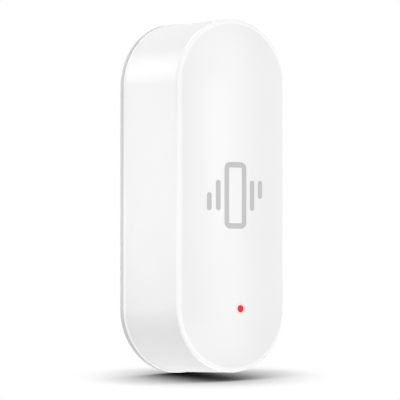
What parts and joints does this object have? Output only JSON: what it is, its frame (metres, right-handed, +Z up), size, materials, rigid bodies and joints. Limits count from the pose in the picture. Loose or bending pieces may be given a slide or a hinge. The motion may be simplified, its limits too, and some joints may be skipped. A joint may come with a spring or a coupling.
{
  "type": "vibration sensor tag",
  "caption": "White pill-shaped vibration sensor with a crowned front, a grey vibration mark and a red status light, whose housing pulls off a rear cover held on by an adhesive pad.",
  "frame": {"origin": "middle of the adhesive pad's outer face, the plane of the door, window or wall", "axes": "+Z up along the height, +Y into the wall, so the front faces -Y, +X to the right seen from the front"},
  "size_m": [0.0264, 0.0245, 0.072],
  "materials": {
    "cover_grey": "fine satin moulded plastic",
    "foam": "closed-cell foam with an adhesive film",
    "housing_white": "satin gloss moulded plastic",
    "mark_grey": "matt inlay",
    "lens_red": "clear red moulded plastic",
    "board_green": "solder resist",
    "module_blue": "solder resist",
    "sheet_steel": "nickel plated sheet",
    "gold_copper": "gold plated",
    "led_ceramic": "matt ceramic",
    "chip_black": "matt moulded resin",
    "passive_tan": "matt ceramic",
    "capacitor_can": "bright drawn can",
    "plunger_brown": "matt moulded plastic",
    "spring_steel": "nickel plated wire",
    "holder_plastic": "satin moulded plastic",
    "cell_metal": "nickel plated can",
    "cell_jacket": "glossy shrink sleeve",
    "screw_steel": "zinc plated"
  },
  "bodies": {
    "cover": {"rear_cover": "cover_grey", "adhesive_pad": "foam"},
    "housing": {"front_housing": "housing_white", "front_mark": "mark_grey", "light_pipe": "lens_red", "main_board": "board_green", "radio_module": "module_blue", "module_shield": "sheet_steel", "module_antenna": "gold_copper", "status_led": "led_ceramic", "board_chips": "chip_black", "board_passives": "passive_tan", "bulk_capacitor": "capacitor_can", "reset_switch": "chip_black", "reset_frame": "sheet_steel", "vibration_base": "chip_black", "vibration_can": "gold_copper", "vibration_pin": "sheet_steel", "battery_holder": "holder_plastic", "cell_core_left": "cell_metal", "cell_core_right": "cell_metal", "cell_jacket_left": "cell_jacket", "cell_jacket_right": "cell_jacket", "plate_contact": "sheet_steel", "spring_contact": "sheet_steel", "bridge_contact": "sheet_steel", "contact_spring_top": "spring_steel", "contact_spring_bottom": "spring_steel", "holder_screws": "screw_steel"},
    "reset_button": {"reset_plunger": "plunger_brown"},
    "sensing_spring": {"vibration_spring": "spring_steel"}
  },
  "joints": [
    {"name": "housing_pull", "type": "slide", "parent": "cover", "child": "housing", "axis": [0, -1, 0], "range_m": [0, 0.03]},
    {"name": "reset_press", "type": "slide", "parent": "housing", "child": "reset_button", "axis": [0, -1, 0], "range_m": [0, 0.00025], "stiffness_N_per_m": 600},
    {"name": "vibration_sway", "type": "hinge", "parent": "housing", "child": "sensing_spring", "pos_m": [0.0054, -0.014, 0.02835], "axis": [1, 0, 0], "range_deg": [-5, 5], "stiffness_Nm_per_rad": 0.00012}
  ]
}
